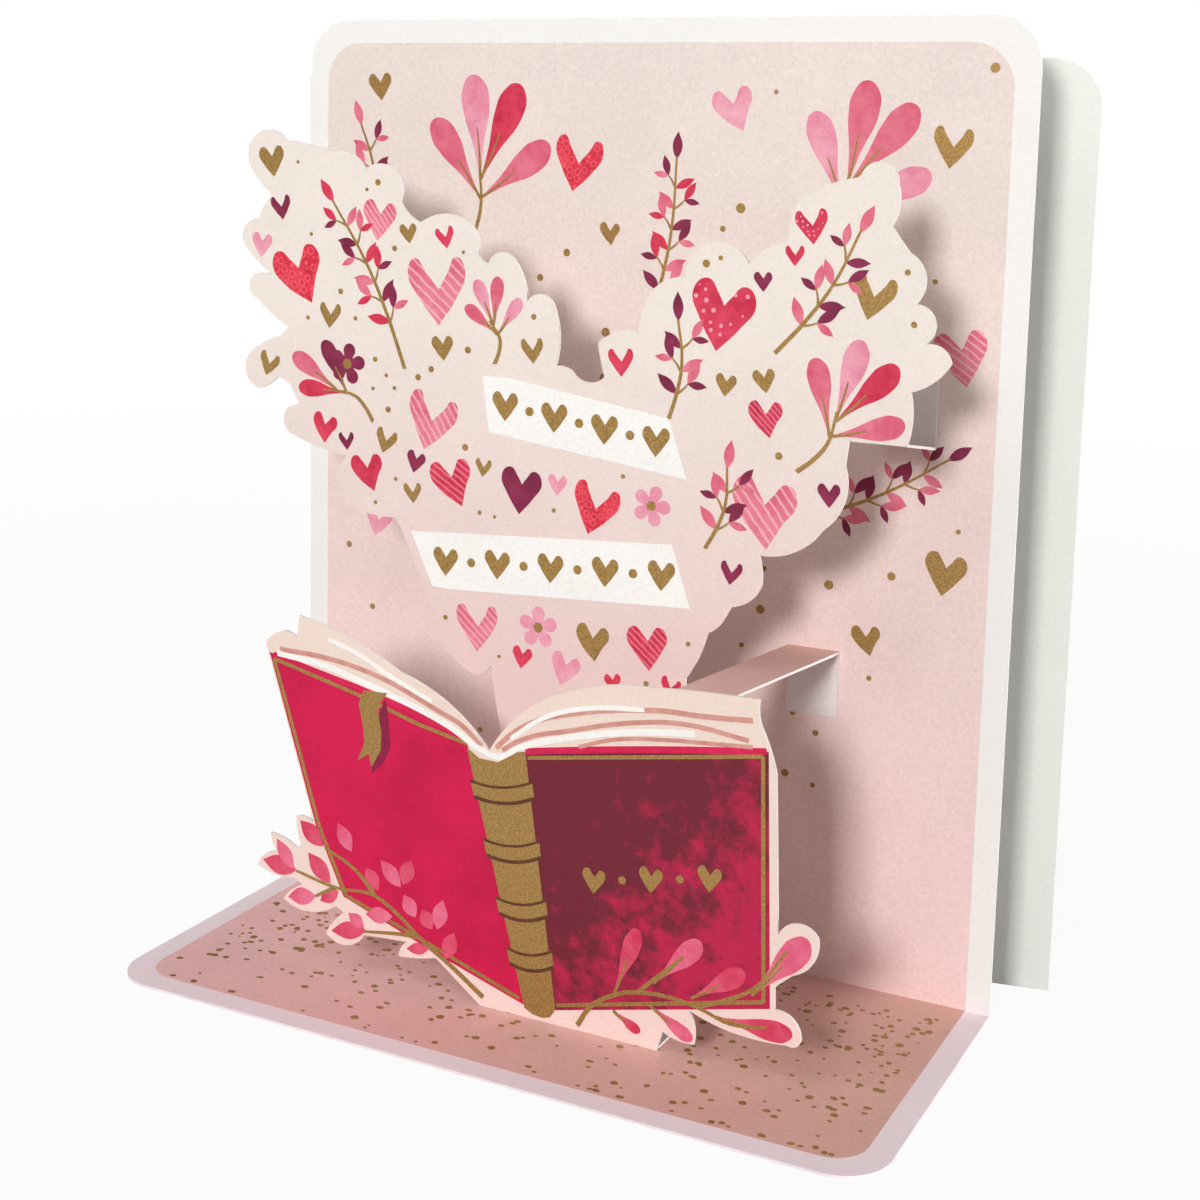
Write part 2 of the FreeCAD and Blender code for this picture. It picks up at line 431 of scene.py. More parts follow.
def makeCover(name, tones):
    # spongy clouds; the lean gathers the light ones towards one corner
    material, tree, shader = newMaterial("ink" + name)
    place = objectPlace(tree)
    cloud = noise(tree, place, tones["scale"], detail=6.0, roughness=0.7)
    lean = tree.nodes.new("ShaderNodeVectorMath")
    lean.operation = "DOT_PRODUCT"
    tree.links.new(place, lean.inputs[0])
    lean.inputs[1].default_value = tones["lean"]
    shifted = maths(tree, "ADD", cloud, lean.outputs["Value"])
    patch = ramp(tree, shifted, tones["from"], tones["to"])
    shade = mixColours(tree, patch, colour(*tones["deep"]), colour(*tones["light"]))
    finishPaper(tree, shader, shade, 0.07, 0.2, 0.55)
    return material


inks = {"Gold": makeGold()}
for inkName, inkSetup in inkTones.items():
    inks[inkName] = makeInk(inkName, inkSetup)
for inkName, inkCover in patternInks.items():
    inks[inkName] = makeInk(inkName, inkTones[inkCover["base"]], inkCover)
for fieldName, fieldSetup in fieldTones.items():
    inks[fieldName] = makeField(fieldName, fieldSetup)
for coverName, coverSetup in coverTones.items():
    inks[coverName] = makeCover(coverName, coverSetup)
print("inks mixed:", len(inks))


# Shapes of the print. Each is drawn flat, stood up in the XZ plane and stamped where it is needed.
templates = []


def drawShape(name, anchors, steps=5):
    # anchors: x, z and whether the outline turns a corner there
    bpy.ops.object.select_all(action="DESELECT")
    bpy.ops.curve.primitive_bezier_circle_add(radius=1)
    drawn = bpy.context.object
    drawn.name = name
    curve = drawn.data
    curve.dimensions = "2D"
    curve.fill_mode = "BOTH"
    curve.resolution_u = steps
    curve.extrude = 0.5
    spline = curve.splines[0]
    spline.bezier_points.add(len(anchors) - len(spline.bezier_points))
    for knot, (x, z, corner) in zip(spline.bezier_points, anchors):
        knot.co = (x, z, 0)
        knot.handle_left_type = "VECTOR" if corner else "AUTO"
        knot.handle_right_type = "VECTOR" if corner else "AUTO"
    bpy.ops.object.convert(target="MESH")
    bpy.ops.object.mode_set(mode="EDIT")
    bpy.ops.mesh.select_all(action="SELECT")
    bpy.ops.mesh.remove_doubles(threshold=0.0001)
    bpy.ops.mesh.normals_make_consistent(inside=False)
    bpy.ops.object.mode_set(mode="OBJECT")
    drawn.rotation_euler = (math.radians(90), 0, 0)
    bpy.ops.object.transform_apply(location=True, rotation=True, scale=True)
    while drawn.data.uv_layers:
        drawn.data.uv_layers.remove(drawn.data.uv_layers[0])
    pattern = drawn.data.uv_layers.new(name="motif")
    for loop in drawn.data.loops:
        corner = drawn.data.vertices[loop.vertex_index].co
        pattern.data[loop.index].uv = (corner.x, corner.z)
    templates.append(drawn)
    return drawn


def heartShape(name, lean, notch, lobe):
    # notch: how far the lobes part; lobe: the half width of each
    return drawShape(name, [
        (lean, -1.0, True), (0.6, -0.24, False), (0.94, 0.46, False), (0.94 - lobe, 0.88, False),
        (0.92 - 2 * lobe, 0.5, False), (0.03, notch, True), (-0.9 + 2 * lobe, 0.56, False),
        (-0.94 + lobe, 0.92, False), (-0.94, 0.52, False), (-0.64, -0.18, False),
    ])


def blossomShape(name, petals):
    anchors = []
    for petal in range(petals):
        middle = 2 * math.pi * petal / petals
        half = math.pi / petals
        for turn, reach in ((-0.62, 0.82), (0, 1.0), (0.62, 0.82)):
            angle = middle + turn * half
            anchors.append((reach * math.sin(angle), reach * math.cos(angle), False))
        anchors.append((0.38 * math.sin(middle + half), 0.38 * math.cos(middle + half), True))
    return drawShape(name, anchors)


def roundShape(name, corners):
    anchors = []
    for corner in range(corners):
        angle = 2 * math.pi * corner / corners
        anchors.append((math.sin(angle), math.cos(angle), False))
    return drawShape(name, anchors, steps=3)


def strokeShape(name, middle, widths):
    # a brush stroke along the points of its middle line, with its half width at each
    right, left = [], []
    for index, ((x, z), half) in enumerate(zip(middle, widths)):
        before = middle[max(index - 1, 0)]
        after = middle[min(index + 1, len(middle) - 1)]
        run = Vector((after[0] - before[0], after[1] - before[1])).normalized()
        right.append((x + run.y * half, z - run.x * half, False))
        left.append((x - run.y * half, z + run.x * half, False))
    for side in (right, left):
        side[0] = (*side[0][:2], True)
        side[-1] = (*side[-1][:2], True)
    return drawShape(name, right + left[::-1])


def fieldShape(name, corners):
    return drawShape(name, [(x, z, True) for x, z in corners], steps=1)


def roundedField(name, left, right, low, high, radius):
    # a field with square lower corners and rounded upper ones
    anchors = [(left, low), (left, high - radius)]
    quarter = [math.radians(angle) for angle in (15, 30, 45, 60, 75)]
    for angle in quarter:
        anchors.append((left + radius * (1 - math.cos(angle)), high - radius * (1 - math.sin(angle))))
    anchors += [(left + radius, high), (right - radius, high)]
    for angle in reversed(quarter):
        anchors.append((right - radius * (1 - math.cos(angle)), high - radius * (1 - math.sin(angle))))
    anchors += [(right, high - radius), (right, low)]
    return fieldShape(name, anchors)


heart = heartShape("heart", 0.0, 0.26, 0.36)
leaningHeart = heartShape("leaningHeart", 0.24, 0.2, 0.34)
slimHeart = heartShape("slimHeart", -0.06, 0.0, 0.26)
leafHalf, petalHalf = 0.2, 0.14
leaf = drawShape("leaf", [
    (0.0, 0.0, True), (0.13, 0.22, False), (leafHalf, 0.52, False), (0.02, 1.0, True),
    (-0.17, 0.6, False), (-0.14, 0.26, False)])
petal = drawShape("petal", [
    (0.0, 0.0, True), (0.055, 0.34, False), (petalHalf, 0.72, False), (0.09, 0.94, False),
    (-0.03, 1.0, False), (-0.13, 0.86, False), (-0.13, 0.66, False), (-0.05, 0.32, False)])
blossom = blossomShape("blossom", 5)
dot = roundShape("dot", 6)
stemHalf, stemBend = 0.018, 0.07
stemMiddle = [(0.0, 0.0), (0.055, 0.3), (stemBend, 0.6), (0.0, 1.0)]
stem = strokeShape("stem", stemMiddle, [stemHalf, 0.016, 0.013, 0.009])
twig = strokeShape("twig", [(0.0, 0.0), (0.01, 0.5), (0.0, 1.0)], [stemHalf, 0.014, 0.009])
shapeHalves = {"leaf": leafHalf, "petal": petalHalf, "twig": stemHalf}     # of their length
print("shapes drawn:", len(templates))


# Panels that take the print: where their lower edge is, and whether they lie on the floor
panels = {
    "backdrop": {"origin": Vector((0, backdropFront, 0)), "lying": False, "slot": "card_board"},
    "flap": {"origin": Vector((0, cardLow.y, boardThickness)), "lying": True, "slot": "card_board"},
    "heart": {"origin": Vector((0, heartLow.y, 0)), "lying": False, "slot": "heart_board"},
    "book": {"origin": Vector((0, bookLow.y, 0)), "lying": False, "slot": "book_board"},
}
layerStep = 0.02       # mm that each layer of print stands over the one below
heightCycle = 70       # stamps in a row that all differ in height
heightShare = 0.012    # of a layer, from one stamp to the next
motifLayer = 3
printed = {}           # panel and ink: the stamps that are joined later
stampCount = 0
taken = {name: [] for name in panels}     # circles on each panel that print already fills


def stamp(panel, ink, shape, x=0.0, z=0.0, size=1.0, turn=0.0, layer=2, wide=1.0):
    # turn is clockwise from upright, size and places are in mm
    global stampCount
    stampCount += 1
    piece = shape.copy()
    piece.data = shape.data.copy()
    bpy.context.collection.objects.link(piece)
    lift = (layer + heightShare * (stampCount % heightCycle)) * layerStep
    scale = Matrix.Diagonal((size * wide * mm, 2 * lift * mm, size * mm, 1))
    turned = Matrix.Rotation(math.radians(turn), 4, "Y")
    piece.data.transform(Matrix.Translation((x * mm, 0, z * mm)) @ turned @ scale)
    printed.setdefault((panel, ink), []).append(piece)


def onSprig(x, z, turn, along, across):
    angle = math.radians(turn)
    return (x + across * math.cos(angle) + along * math.sin(angle),
            z - across * math.sin(angle) + along * math.cos(angle))


stemWidth = 0.32       # half width of a stem in mm, whatever its length
leafySetup = {
    "leafLength": 4.2, "shrink": 0.3, "rootSize": 1.12,
    "covered": 0.7, "spacing": 3.5,            # share of the stem with leaves, and mm from knot to knot
    "firstKnot": 0.26, "knotSpan": 0.68,
    "leafTurn": 54, "twigTurn": 42,
    "pair": ((0.92, 18), (0.72, -48)),         # size and turn of the two leaves on a twig
    "twigLength": 2.6, "twigEnd": 2.3, "twigHalf": 0.2,
    "roomShares": (0.1, 0.3, 0.5, 0.7, 0.9, 1.05),
}
fanSetup = {
    "foot": 0.52, "stemWide": 1.15, "turn": 30,
    "rootShare": 0.97, "rootStep": 0.2, "petalSize": 0.62, "sizeStep": 0.05, "petalWide": 1.08,
    "twigLength": 0.5, "twigHalf": 0.24,
    "room": ((0.2, 0.14), (0.74, 0.46)),       # shares of the length: middle and reach
}


def drawStem(panel, shape, x, z, length, turn, half, layer):
    stamp(panel, "Gold", shape, x, z, length, turn, layer, half / (stemHalf * length))


def onStem(x, z, turn, length, share):
    # a point of the bowed middle line of a stem
    bow = 4 * share * (1 - share) * stemBend * stemWidth / stemHalf
    return onSprig(x, z, turn, share * length, bow)


def takeRoom(panel, x, z, reach):
    taken[panel].append((x, z, reach))


def leafySprig(panel, x, z, turn, length, leafInks):
    # a stem with slim leaves: one on one side, and a pair on a short twig on the other
    setup = leafySetup
    drawStem(panel, stem, x, z, length, turn, stemWidth, motifLayer + 1)
    knots = max(2, round(setup["covered"] * length / setup["spacing"]))
    for knot in range(knots):
        share = setup["firstKnot"] + setup["knotSpan"] * knot / knots
        side = 1 if knot % 2 else -1
        size = setup["leafLength"] * (setup["rootSize"] - setup["shrink"] * share)
        rootX, rootZ = onStem(x, z, turn, length, share)
        inkAt = [leafInks[(knot + step) % len(leafInks)] for step in range(3)]
        stamp(panel, inkAt[0], leaf, rootX, rootZ, size, turn + side * setup["leafTurn"], motifLayer)
        twigTurn = turn - side * setup["twigTurn"]
        drawStem(
            panel, twig, rootX, rootZ, setup["twigLength"], twigTurn, setup["twigHalf"], motifLayer + 1)
        endX, endZ = onSprig(rootX, rootZ, twigTurn, setup["twigEnd"], 0)
        for ink, (part, swing) in zip(inkAt[1:], setup["pair"]):
            stamp(panel, ink, leaf, endX, endZ, part * size, twigTurn + side * swing, motifLayer)
    tipX, tipZ = onStem(x, z, turn, length, 0.98)
    stamp(panel, leafInks[0], leaf, tipX, tipZ, 1.05 * setup["leafLength"], turn - 8, motifLayer)
    for share in setup["roomShares"]:
        takeRoom(panel, *onStem(x, z, turn, length, share), 2.0 + 2.6 * min(1, 3 * share))


def petalSprig(panel, x, z, turn, length, petalInks, petals=4):
    # a fan of round-ended petals, each with a twig along it
    setup = fanSetup
    foot = setup["foot"] * length
    drawStem(panel, stem, x, z, foot, turn, setup["stemWide"] * stemWidth, motifLayer + 1)
    for petalIndex in range(petals):
        spread = petalIndex - (petals - 1) / 2
        share = setup["rootShare"] - setup["rootStep"] * abs(spread)
        rootX, rootZ = onStem(x, z, turn, foot, share)
        angle = turn + setup["turn"] * spread
        size = (setup["petalSize"] - setup["sizeStep"] * abs(spread)) * length
        ink = petalInks[petalIndex % len(petalInks)]
        stamp(panel, ink, petal, rootX, rootZ, size, angle, motifLayer, setup["petalWide"])
        twigLength = setup["twigLength"] * size
        drawStem(panel, twig, rootX, rootZ, twigLength, angle, setup["twigHalf"], motifLayer + 1)
    for middle, reach in setup["room"]:
        takeRoom(panel, *onSprig(x, z, turn, middle * length, 0), reach * length)


def bloom(panel, x, z, size, ink, turn=0):
    stamp(panel, ink, blossom, x, z, size, turn, motifLayer)
    stamp(panel, "Gold", dot, x, z, 0.24 * size, 0, motifLayer + 1)
    takeRoom(panel, x, z, size)


def placeHeart(panel, x, z, size, ink, turn=0):
    shape = (heart, slimHeart, leaningHeart)[len(taken[panel]) % 3]
    stamp(panel, ink, shape, x, z, size, turn, motifLayer)
    takeRoom(panel, x, z, size)


def printMotifs(panel, setup):
    for place in setup["leafySprigs"]:
        leafySprig(panel, *place)
    for place in setup["petalSprigs"]:
        petalSprig(panel, *place)
    for place in setup["hearts"]:
        placeHeart(panel, *place)
    for place in setup["blossoms"]:
        bloom(panel, *place)


castStart, castReach = 0.01, 0.0105     # metres: where a ray starts before a board, and its length


def onBoard(node, x, z, reach, frontY):
    # true where the board's front lies under the whole circle
    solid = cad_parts[node]
    for step in range(8):
        angle = math.pi * step / 4
        edgeX, edgeZ = x + reach * math.cos(angle), z + reach * math.sin(angle)
        start = Vector((edgeX * mm, frontY - castStart, edgeZ * mm))
        if not solid.ray_cast(start, Vector((0, 1, 0)), distance=castReach)[0]:
            return False
    return True


def scatter(panel, node, area, count, reach, clear, seed, place):
    # fills what is left of the area, each spot clear of all that is there already
    chance = random.Random(seed)
    left, right, low, high = area
    done = 0
    for _ in range(count * 60):
        x, z = chance.uniform(left, right), chance.uniform(low, high)
        size = chance.uniform(*reach)
        free = all(math.hypot(x - a, z - b) > r + size + clear for a, b, r in taken[panel])
        if free and onBoard(node, x, z, size + clear, panels[panel]["origin"].y):
            place(x, z, size, chance)
            takeRoom(panel, x, z, size)
            done += 1
        if done == count:
            break


def scatterDots(panel, node, setup):
    def goldDot(x, z, size, chance):
        stamp(panel, "Gold", dot, x, z, size, 0, motifLayer)

    scatter(panel, node, setup["area"], **setup["dots"], place=goldDot)


# Backdrop: a pink ground inside a white border, with a sparse print
backdropPrint = {
    "border": 3.8, "radius": 6.6, "foldGap": 0.43,
    "leafySprigs": [
        (2, 102, 9, 29, ["Maroon", "Rose", "Crimson"]), (27, 74, 64, 29, ["Maroon", "Rose"]),
        (-50, 118, -10, 17, ["Rose", "Maroon"])],
    "petalSprigs": [
        (-32, 113, 10, 29, ["Rose", "Blush", "Crimson"]), (29, 116, 26, 27, ["Blush", "Rose", "Rose"])],
    "hearts": [
        (-11, 129, 4.6, "ScarletRings", 8), (16, 138, 3.6, "Blush", -14), (-49, 141, 2.4, "Gold", -6),
        (51, 133, 3.2, "Gold", 4), (41, 57, 2.5, "Gold", -5), (53, 69, 3.5, "Gold", 6),
        (-49, 66, 3.0, "Blush", 10), (-5, 118, 1.9, "Gold", 3), (54, 102, 4.4, "RoseHatch", -12)],
    "blossoms": [],
    "area": (-57, 57, 30, 145),
    "dots": {"count": 60, "reach": (0.35, 0.8), "clear": 2.6, "seed": 11},
}


def printBackdrop(setup):
    side = halfWidth - setup["border"]
    ground = roundedField(
        "backdropGround", -side, side, setup["foldGap"], cardHeight - setup["border"], setup["radius"])
    stamp("backdrop", "BackdropGround", ground, layer=1)
    printMotifs("backdrop", setup)
    scatterDots("backdrop", "folded_card", setup)


# Floor flap: the pink ground, darker and dustier than the backdrop's and darker towards the right, partly
# print and partly painted shade, with gold speckles
flapPrint = {
    "border": 3.8, "radius": 5.2, "foldGap": 0.03,
    "speckles": 640, "seed": 5, "sideGap": 2, "frontGap": 1, "backGap": 5,
    "spread": (17, 15), "reach": (0.25, 0.66), "turns": (70, 110), "wide": (0.55, 1.0),
}


def printFlap(setup):
    side = halfWidth - setup["border"]
    depth = flapDepth - setup["border"]
    ground = roundedField("flapGround", -side, side, setup["foldGap"], depth, setup["radius"])
    stamp("flap", "FlapGround", ground, turn=180, layer=1)
    chance = random.Random(setup["seed"])
    for _ in range(setup["speckles"]):
        x = chance.uniform(-side + setup["sideGap"], side - setup["sideGap"])
        back = min(depth - setup["frontGap"], setup["backGap"] + abs(chance.gauss(*setup["spread"])))
        size = chance.uniform(*setup["reach"])
        turn = chance.uniform(*setup["turns"])
        stamp("flap", "Gold", dot, x, -back, size, turn, motifLayer, chance.uniform(*setup["wide"]))


# Heart panel: two white strips, and hearts, sprigs and blossoms between them
heartPrint = {
    "upperStrip": [(-16.6, 96.0), (-11.5, 95.9), (15.4, 92.0), (18.7, 83.1), (-15.4, 87.2)],
    "lowerStrip": [(-29.6, 69.8), (16.5, 72.9), (19.9, 63.5), (-22.5, 61.1), (-25.5, 61.2)],
    "stripCircles": 8, "stripReach": 6.2,
    "ornaments": [((-12.5, 91.6), (13.5, 88.4), 7, 2.4), ((-23.0, 65.6), (15.0, 68.0), 9, 2.4)],
    "leafySprigs": [
        (-31, 96, -28, 30, ["Crimson", "Maroon", "Rose"]), (15.5, 92, 4, 15, ["Maroon", "Rose"]),
        (32, 103, 34, 22, ["Rose", "Maroon"]), (22, 73, 14, 13, ["Rose", "Maroon"])],
    "petalSprigs": [
        (-37, 87, -58, 16.5, ["Crimson", "Rose", "Maroon"], 3), (-14.5, 98, -9, 13, ["Rose", "Blush"]),
        (36, 86, 32, 21, ["Rose", "Blush", "Crimson"])],
    "hearts": [
        (-25, 109, 5.6, "RoseHatch", -6), (-51.5, 110, 5.0, "ScarletRings", -16),
        (23.5, 108, 5.4, "CrimsonSpots", 8), (-26, 88, 4.8, "RoseHatch", 12),
        (-22, 78.5, 4.0, "CrimsonHatch", -14), (-9.5, 78.5, 3.8, "Maroon", 4),
        (3.5, 77, 4.2, "ScarletRings", 12), (31, 79.5, 5.4, "RoseHatch", 6),
        (-36, 119.5, 3.3, "RoseHatch", 6), (37, 121.5, 2.6, "CrimsonSpots", -10),
        (-46.5, 85.2, 2.5, "Crimson", 12), (-56.8, 128.3, 2.6, "Gold", -8),
        (-17, 55.6, 4.0, "RoseHatch", -4), (3.5, 56, 3.0, "Gold", 4), (13, 56.5, 3.6, "CrimsonHatch", -6),
        (46.5, 112, 3.4, "Gold", 10), (-38, 78.6, 3.2, "Crimson", -10)],
    "blossoms": [(-6, 57, 3.4, "Blush"), (13, 78.5, 3.2, "Blush", 20), (-42, 96, 3.4, "Maroon", 10)],
    "area": (-60, 56, 50, 130),
    "middling": {"count": 9, "reach": (2.7, 3.5), "clear": 0.7, "seed": 20},
    "small": {"count": 24, "reach": (1.5, 2.4), "clear": 0.6, "seed": 21},
    "dots": {"count": 60, "reach": (0.28, 0.58), "clear": 1.5, "seed": 22},
}


def stripOrnament(panel, start, end, count, size):
    # a row of small gold hearts and dots along a strip
    for index in range(count):
        share = index / (count - 1)
        x = start[0] + (end[0] - start[0]) * share
        z = start[1] + (end[1] - start[1]) * share
        if index % 2 == 0:
            stamp(panel, "Gold", heart, x, z, size, 0, 5)
        else:
            stamp(panel, "Gold", dot, x, z, 0.3 * size, 0, 5)


def printHeart(setup):
    circles = setup["stripCircles"]
    for name in ("upperStrip", "lowerStrip"):
        corners = setup[name]
        stamp("heart", "White", fieldShape(name, corners), layer=3)
        low, high = min(x for x, z in corners), max(x for x, z in corners)
        middle = sum(z for x, z in corners) / len(corners)
        for step in range(circles):
            takeRoom("heart", low + (high - low) * (step + 0.5) / circles, middle, setup["stripReach"])
    for ornament in setup["ornaments"]:
        stripOrnament("heart", *ornament)
    printMotifs("heart", setup)

    def middlingHeart(x, z, size, chance):
        ink = chance.choice(("CrimsonHatch", "RoseHatch", "Maroon", "CrimsonSpots", "Blush"))
        placeHeart("heart", x, z, size, ink, chance.uniform(-18, 18))

    def smallHeart(x, z, size, chance):
        ink = chance.choice(("Gold", "Blush", "Crimson", "Maroon", "Gold"))
        shape = chance.choice((heart, slimHeart))
        stamp("heart", ink, shape, x, z, size, chance.uniform(-16, 16), motifLayer)

    scatter("heart", "heart_panel", setup["area"], **setup["middling"], place=middlingHeart)
    scatter("heart", "heart_panel", setup["area"], **setup["small"], place=smallHeart)
    scatterDots("heart", "heart_panel", setup)


# Book panel: covers, spine, pages and ribbon, with a spray of leaves over each lower corner
bookPrint = {
    "LeftCover": [(-46.15, 50.95), (-34.7, 48.6), (-21.5, 45.6), (-9.6, 42.4), (1.2, 2.4), (-13.8, 6.9),
                  (-31.9, 12.9), (-37.3, 23.9), (-39.95, 32.1), (-42.45, 39.7)],
    "RightCover": [(-2.5, 40.9), (0.6, 42.4), (39.3, 48.9), (40.9, 11.2), (6.3, 2.8), (3.5, 2.2)],
    "leftFrame": [(-9.5, 41.9), (-18.4, 43.6), (-24.3, 45.2), (-29.2, 46.5), (-45.3, 50.0), (-41.7, 39.5),
                  (-36.5, 23.6), (-31.4, 13.2), (-13.8, 7.8), (0.3, 3.3)],
    "rightFrame": [(1.0, 41.5), (6.2, 42.4), (38.5, 48.1), (39.9, 12.0), (6.7, 3.7)],
    "ribbon": [(-28.2, 47.4), (-23.8, 47.6), (-25.3, 45.7), (-25.5, 44.1), (-24.9, 41.2), (-25.0, 38.2),
               (-26.7, 35.2), (-27.2, 37.3), (-29.3, 35.9), (-28.1, 38.8), (-28.2, 41.1), (-29.1, 45.1)],
    "ribbonShade": [(-24.2, 46.7), (-23.8, 44.4), (-23.3, 39.1), (-24.4, 36.4), (-26.6, 34.2),
                    (-26.7, 35.8), (-25.3, 38.2), (-25.3, 44.1)],
}

# Strokes of the pages and the covers' rims: ink, half width, layer and middle line
bookStrokes = {
    "rimLeft": ("Rim", 0.42, 3, [
        (-45.4, 50.7), (-34.8, 48.7), (-29.3, 47.7), (-24.4, 46.6), (-18.5, 45.2), (-11.9, 43.3),
        (-9.6, 42.6)]),
    "rimRight": ("Rim", 0.5, 3, [(0.6, 42.4), (6.2, 43.5), (22.5, 46.4), (39.0, 48.9)]),
    "pageRoseA": ("PageLine", 0.4, 3, [
        (-44.2, 51.7), (-34.8, 51.5), (-25.2, 49.9), (-14.3, 46.1), (-10.6, 44.7), (-6.9, 41.9)]),
    "pageRoseB": ("PageLine", 0.4, 3, [
        (-4.4, 42.1), (-1.7, 44.8), (2.0, 47.2), (6.1, 48.8), (21.8, 52.1), (29.1, 52.4), (36.8, 53.0)]),
    "pageRoseC": ("PageLine", 0.36, 3, [
        (-3.4, 41.9), (-0.4, 43.9), (3.3, 45.5), (6.2, 46.3), (17.8, 49.6), (26.3, 50.8), (36.3, 50.0)]),
    "pageRoseD": ("PageLine", 0.3, 3, [(9.5, 44.6), (15.0, 46.6), (23.6, 48.0), (30.3, 48.6), (36.9, 49.2)]),
    "pageWhiteA": ("White", 0.45, 4, [
        (-44.6, 51.0), (-34.8, 50.1), (-29.3, 48.8), (-23.8, 47.5), (-13.2, 44.3), (-7.0, 41.4), (-4.1, 40.7),
        (-0.4, 42.8), (6.2, 45.2), (18.0, 48.2), (28.0, 49.6)]),
    "pageWhiteB": ("White", 0.34, 3, [(-34.9, 54.6), (-29.3, 53.0), (-23.9, 50.6), (-15.9, 47.5)]),
    "pageWhiteC": ("White", 0.34, 3, [(-1.9, 44.0), (3.5, 48.0), (10.6, 50.6), (20.0, 51.9)]),
}

spineSetup = {
    "top": [(-9.5, 41.3), (-7.4, 40.0), (-4.1, 39.9), (-0.7, 42.1), (0.6, 42.3)],
    "foot": [(6.5, 3.0), (5.6, 1.5), (4.3, 1.1), (2.6, 1.3), (1.2, 2.0)],
    "left": {"x": -9.6, "z": 41.8, "slope": 0.264},      # slope: mm to the right for each mm down
    "right": {"x": 0.6, "z": 42.4, "slope": 0.149},
    "bands": [36.1, 27.2, 18.3, 10.6],
    "bandDepth": 2.4, "sag": 0.9, "bulge": 0.6,
}

# Leaves and petals of the sprays, each with its root, its tip and, unless all are alike, its half width
leftSpray = {
    "stems": [
        [(-6.1, 2.0), (-12.6, 6.2), (-16.4, 8.3), (-23.1, 13.0), (-26.5, 14.4), (-33.1, 14.1), (-41.0, 15.4)],
        [(-26.0, 14.5), (-29.6, 17.8), (-35.5, 20.4)],
        [(-17.5, 9.2), (-20.6, 9.0), (-28.0, 7.9)],
        [(-33.5, 14.1), (-37.3, 11.9)],
    ],
    "outer": [
        ((-41.0, 15.5), (-47.6, 15.9), 1.7), ((-41.6, 15.6), (-44.9, 20.0), 1.3),
        ((-35.8, 20.5), (-40.3, 23.9), 1.6), ((-34.4, 14.6), (-38.8, 18.8), 1.6),
        ((-37.3, 11.9), (-42.6, 10.6), 1.5), ((-32.9, 13.6), (-36.3, 11.2), 1.2),
        ((-27.6, 8.2), (-34.2, 6.6), 1.5), ((-28.0, 8.5), (-31.0, 10.3), 1.2),
        ((-15.9, 7.7), (-20.0, 6.7), 1.0),
    ],
    "inner": [
        ((-30.4, 20.7), (-33.1, 24.9)), ((-25.3, 15.3), (-27.8, 18.6)), ((-21.1, 16.7), (-25.0, 20.3)),
        ((-20.7, 17.2), (-19.4, 21.6)), ((-18.4, 12.3), (-20.7, 15.5)), ((-15.4, 11.0), (-17.4, 13.8)),
        ((-14.4, 11.2), (-13.6, 16.2)), ((-12.9, 6.7), (-11.5, 11.4)), ((-22.7, 11.5), (-27.7, 10.8)),
    ],
}
rightSpray = {
    "stems": [
        [(10.3, 1.4), (12.4, 4.8), (16.5, 7.7), (20.2, 8.9), (25.7, 9.3), (30.2, 8.7), (34.8, 7.5),
         (40.6, 8.3)],
        [(20.2, 8.9), (22.6, 11.4), (27.3, 16.0)],
        [(29.9, 9.0), (34.6, 11.2), (38.7, 14.0), (43.2, 20.4)],
    ],
    "petals": [
        ((16.3, 7.8), (19.9, 18.6), 1.4), ((22.6, 10.9), (30.0, 18.8), 1.6),
        ((28.7, 10.0), (36.9, 15.8), 1.5), ((38.1, 12.6), (46.3, 22.6), 2.0),
        ((32.7, 8.0), (44.4, 8.0), 1.6), ((22.1, 7.4), (29.0, 3.5), 1.1), ((16.2, 5.1), (20.6, 2.7), 0.8),
    ],
}
innerHalf = 1.4        # half width of the left spray's inner leaves in mm
sprayTwig = {"share": 0.55, "half": 0.24}


def drawStroke(panel, ink, name, middle, half, layer):
    stamp(panel, ink, strokeShape(name, middle, [half] * len(middle)), layer=layer)


def leafTo(panel, ink, shape, root, tip, half, layer):
    run = Vector((tip[0] - root[0], tip[1] - root[1]))
    turn = math.degrees(math.atan2(run.x, run.y))
    wide = half / (shapeHalves[shape.name] * run.length)
    stamp(panel, ink, shape, *root, run.length, turn, layer, wide)


def bandLine(setup, height, out):
    # a line across the spine, lowest in its middle; its ends stand out past the sides
    rise = 0.45 + 0.01 * height
    ends = []
    for side, sign in (("left", -1), ("right", 1)):
        z = height + setup["sag"] + sign * rise
        ends.append((setup[side]["x"] + setup[side]["slope"] * (setup[side]["z"] - z) + sign * out, z))
    points = []
    for share in (0.0, 0.25, 0.5, 0.75, 1.0):
        x = ends[0][0] + (ends[1][0] - ends[0][0]) * share
        z = ends[0][1] + (ends[1][1] - ends[0][1]) * share
        points.append((x, z - setup["sag"] * 4 * share * (1 - share)))
    return points


def printSpine(setup):
    stamp("book", "Gold", fieldShape("spine", setup["top"] + setup["foot"]), layer=4)
    for index, height in enumerate(setup["bands"]):
        upper = bandLine(setup, height, setup["bulge"])
        lower = bandLine(setup, height - setup["bandDepth"], setup["bulge"])
        stamp("book", "Gold", fieldShape("band" + str(index), upper + lower[::-1]), layer=5)
        drawStroke("book", "Bark", "bandTop" + str(index), upper, 0.2, 6)
        drawStroke("book", "Bark", "bandFoot" + str(index), lower, 0.28, 6)


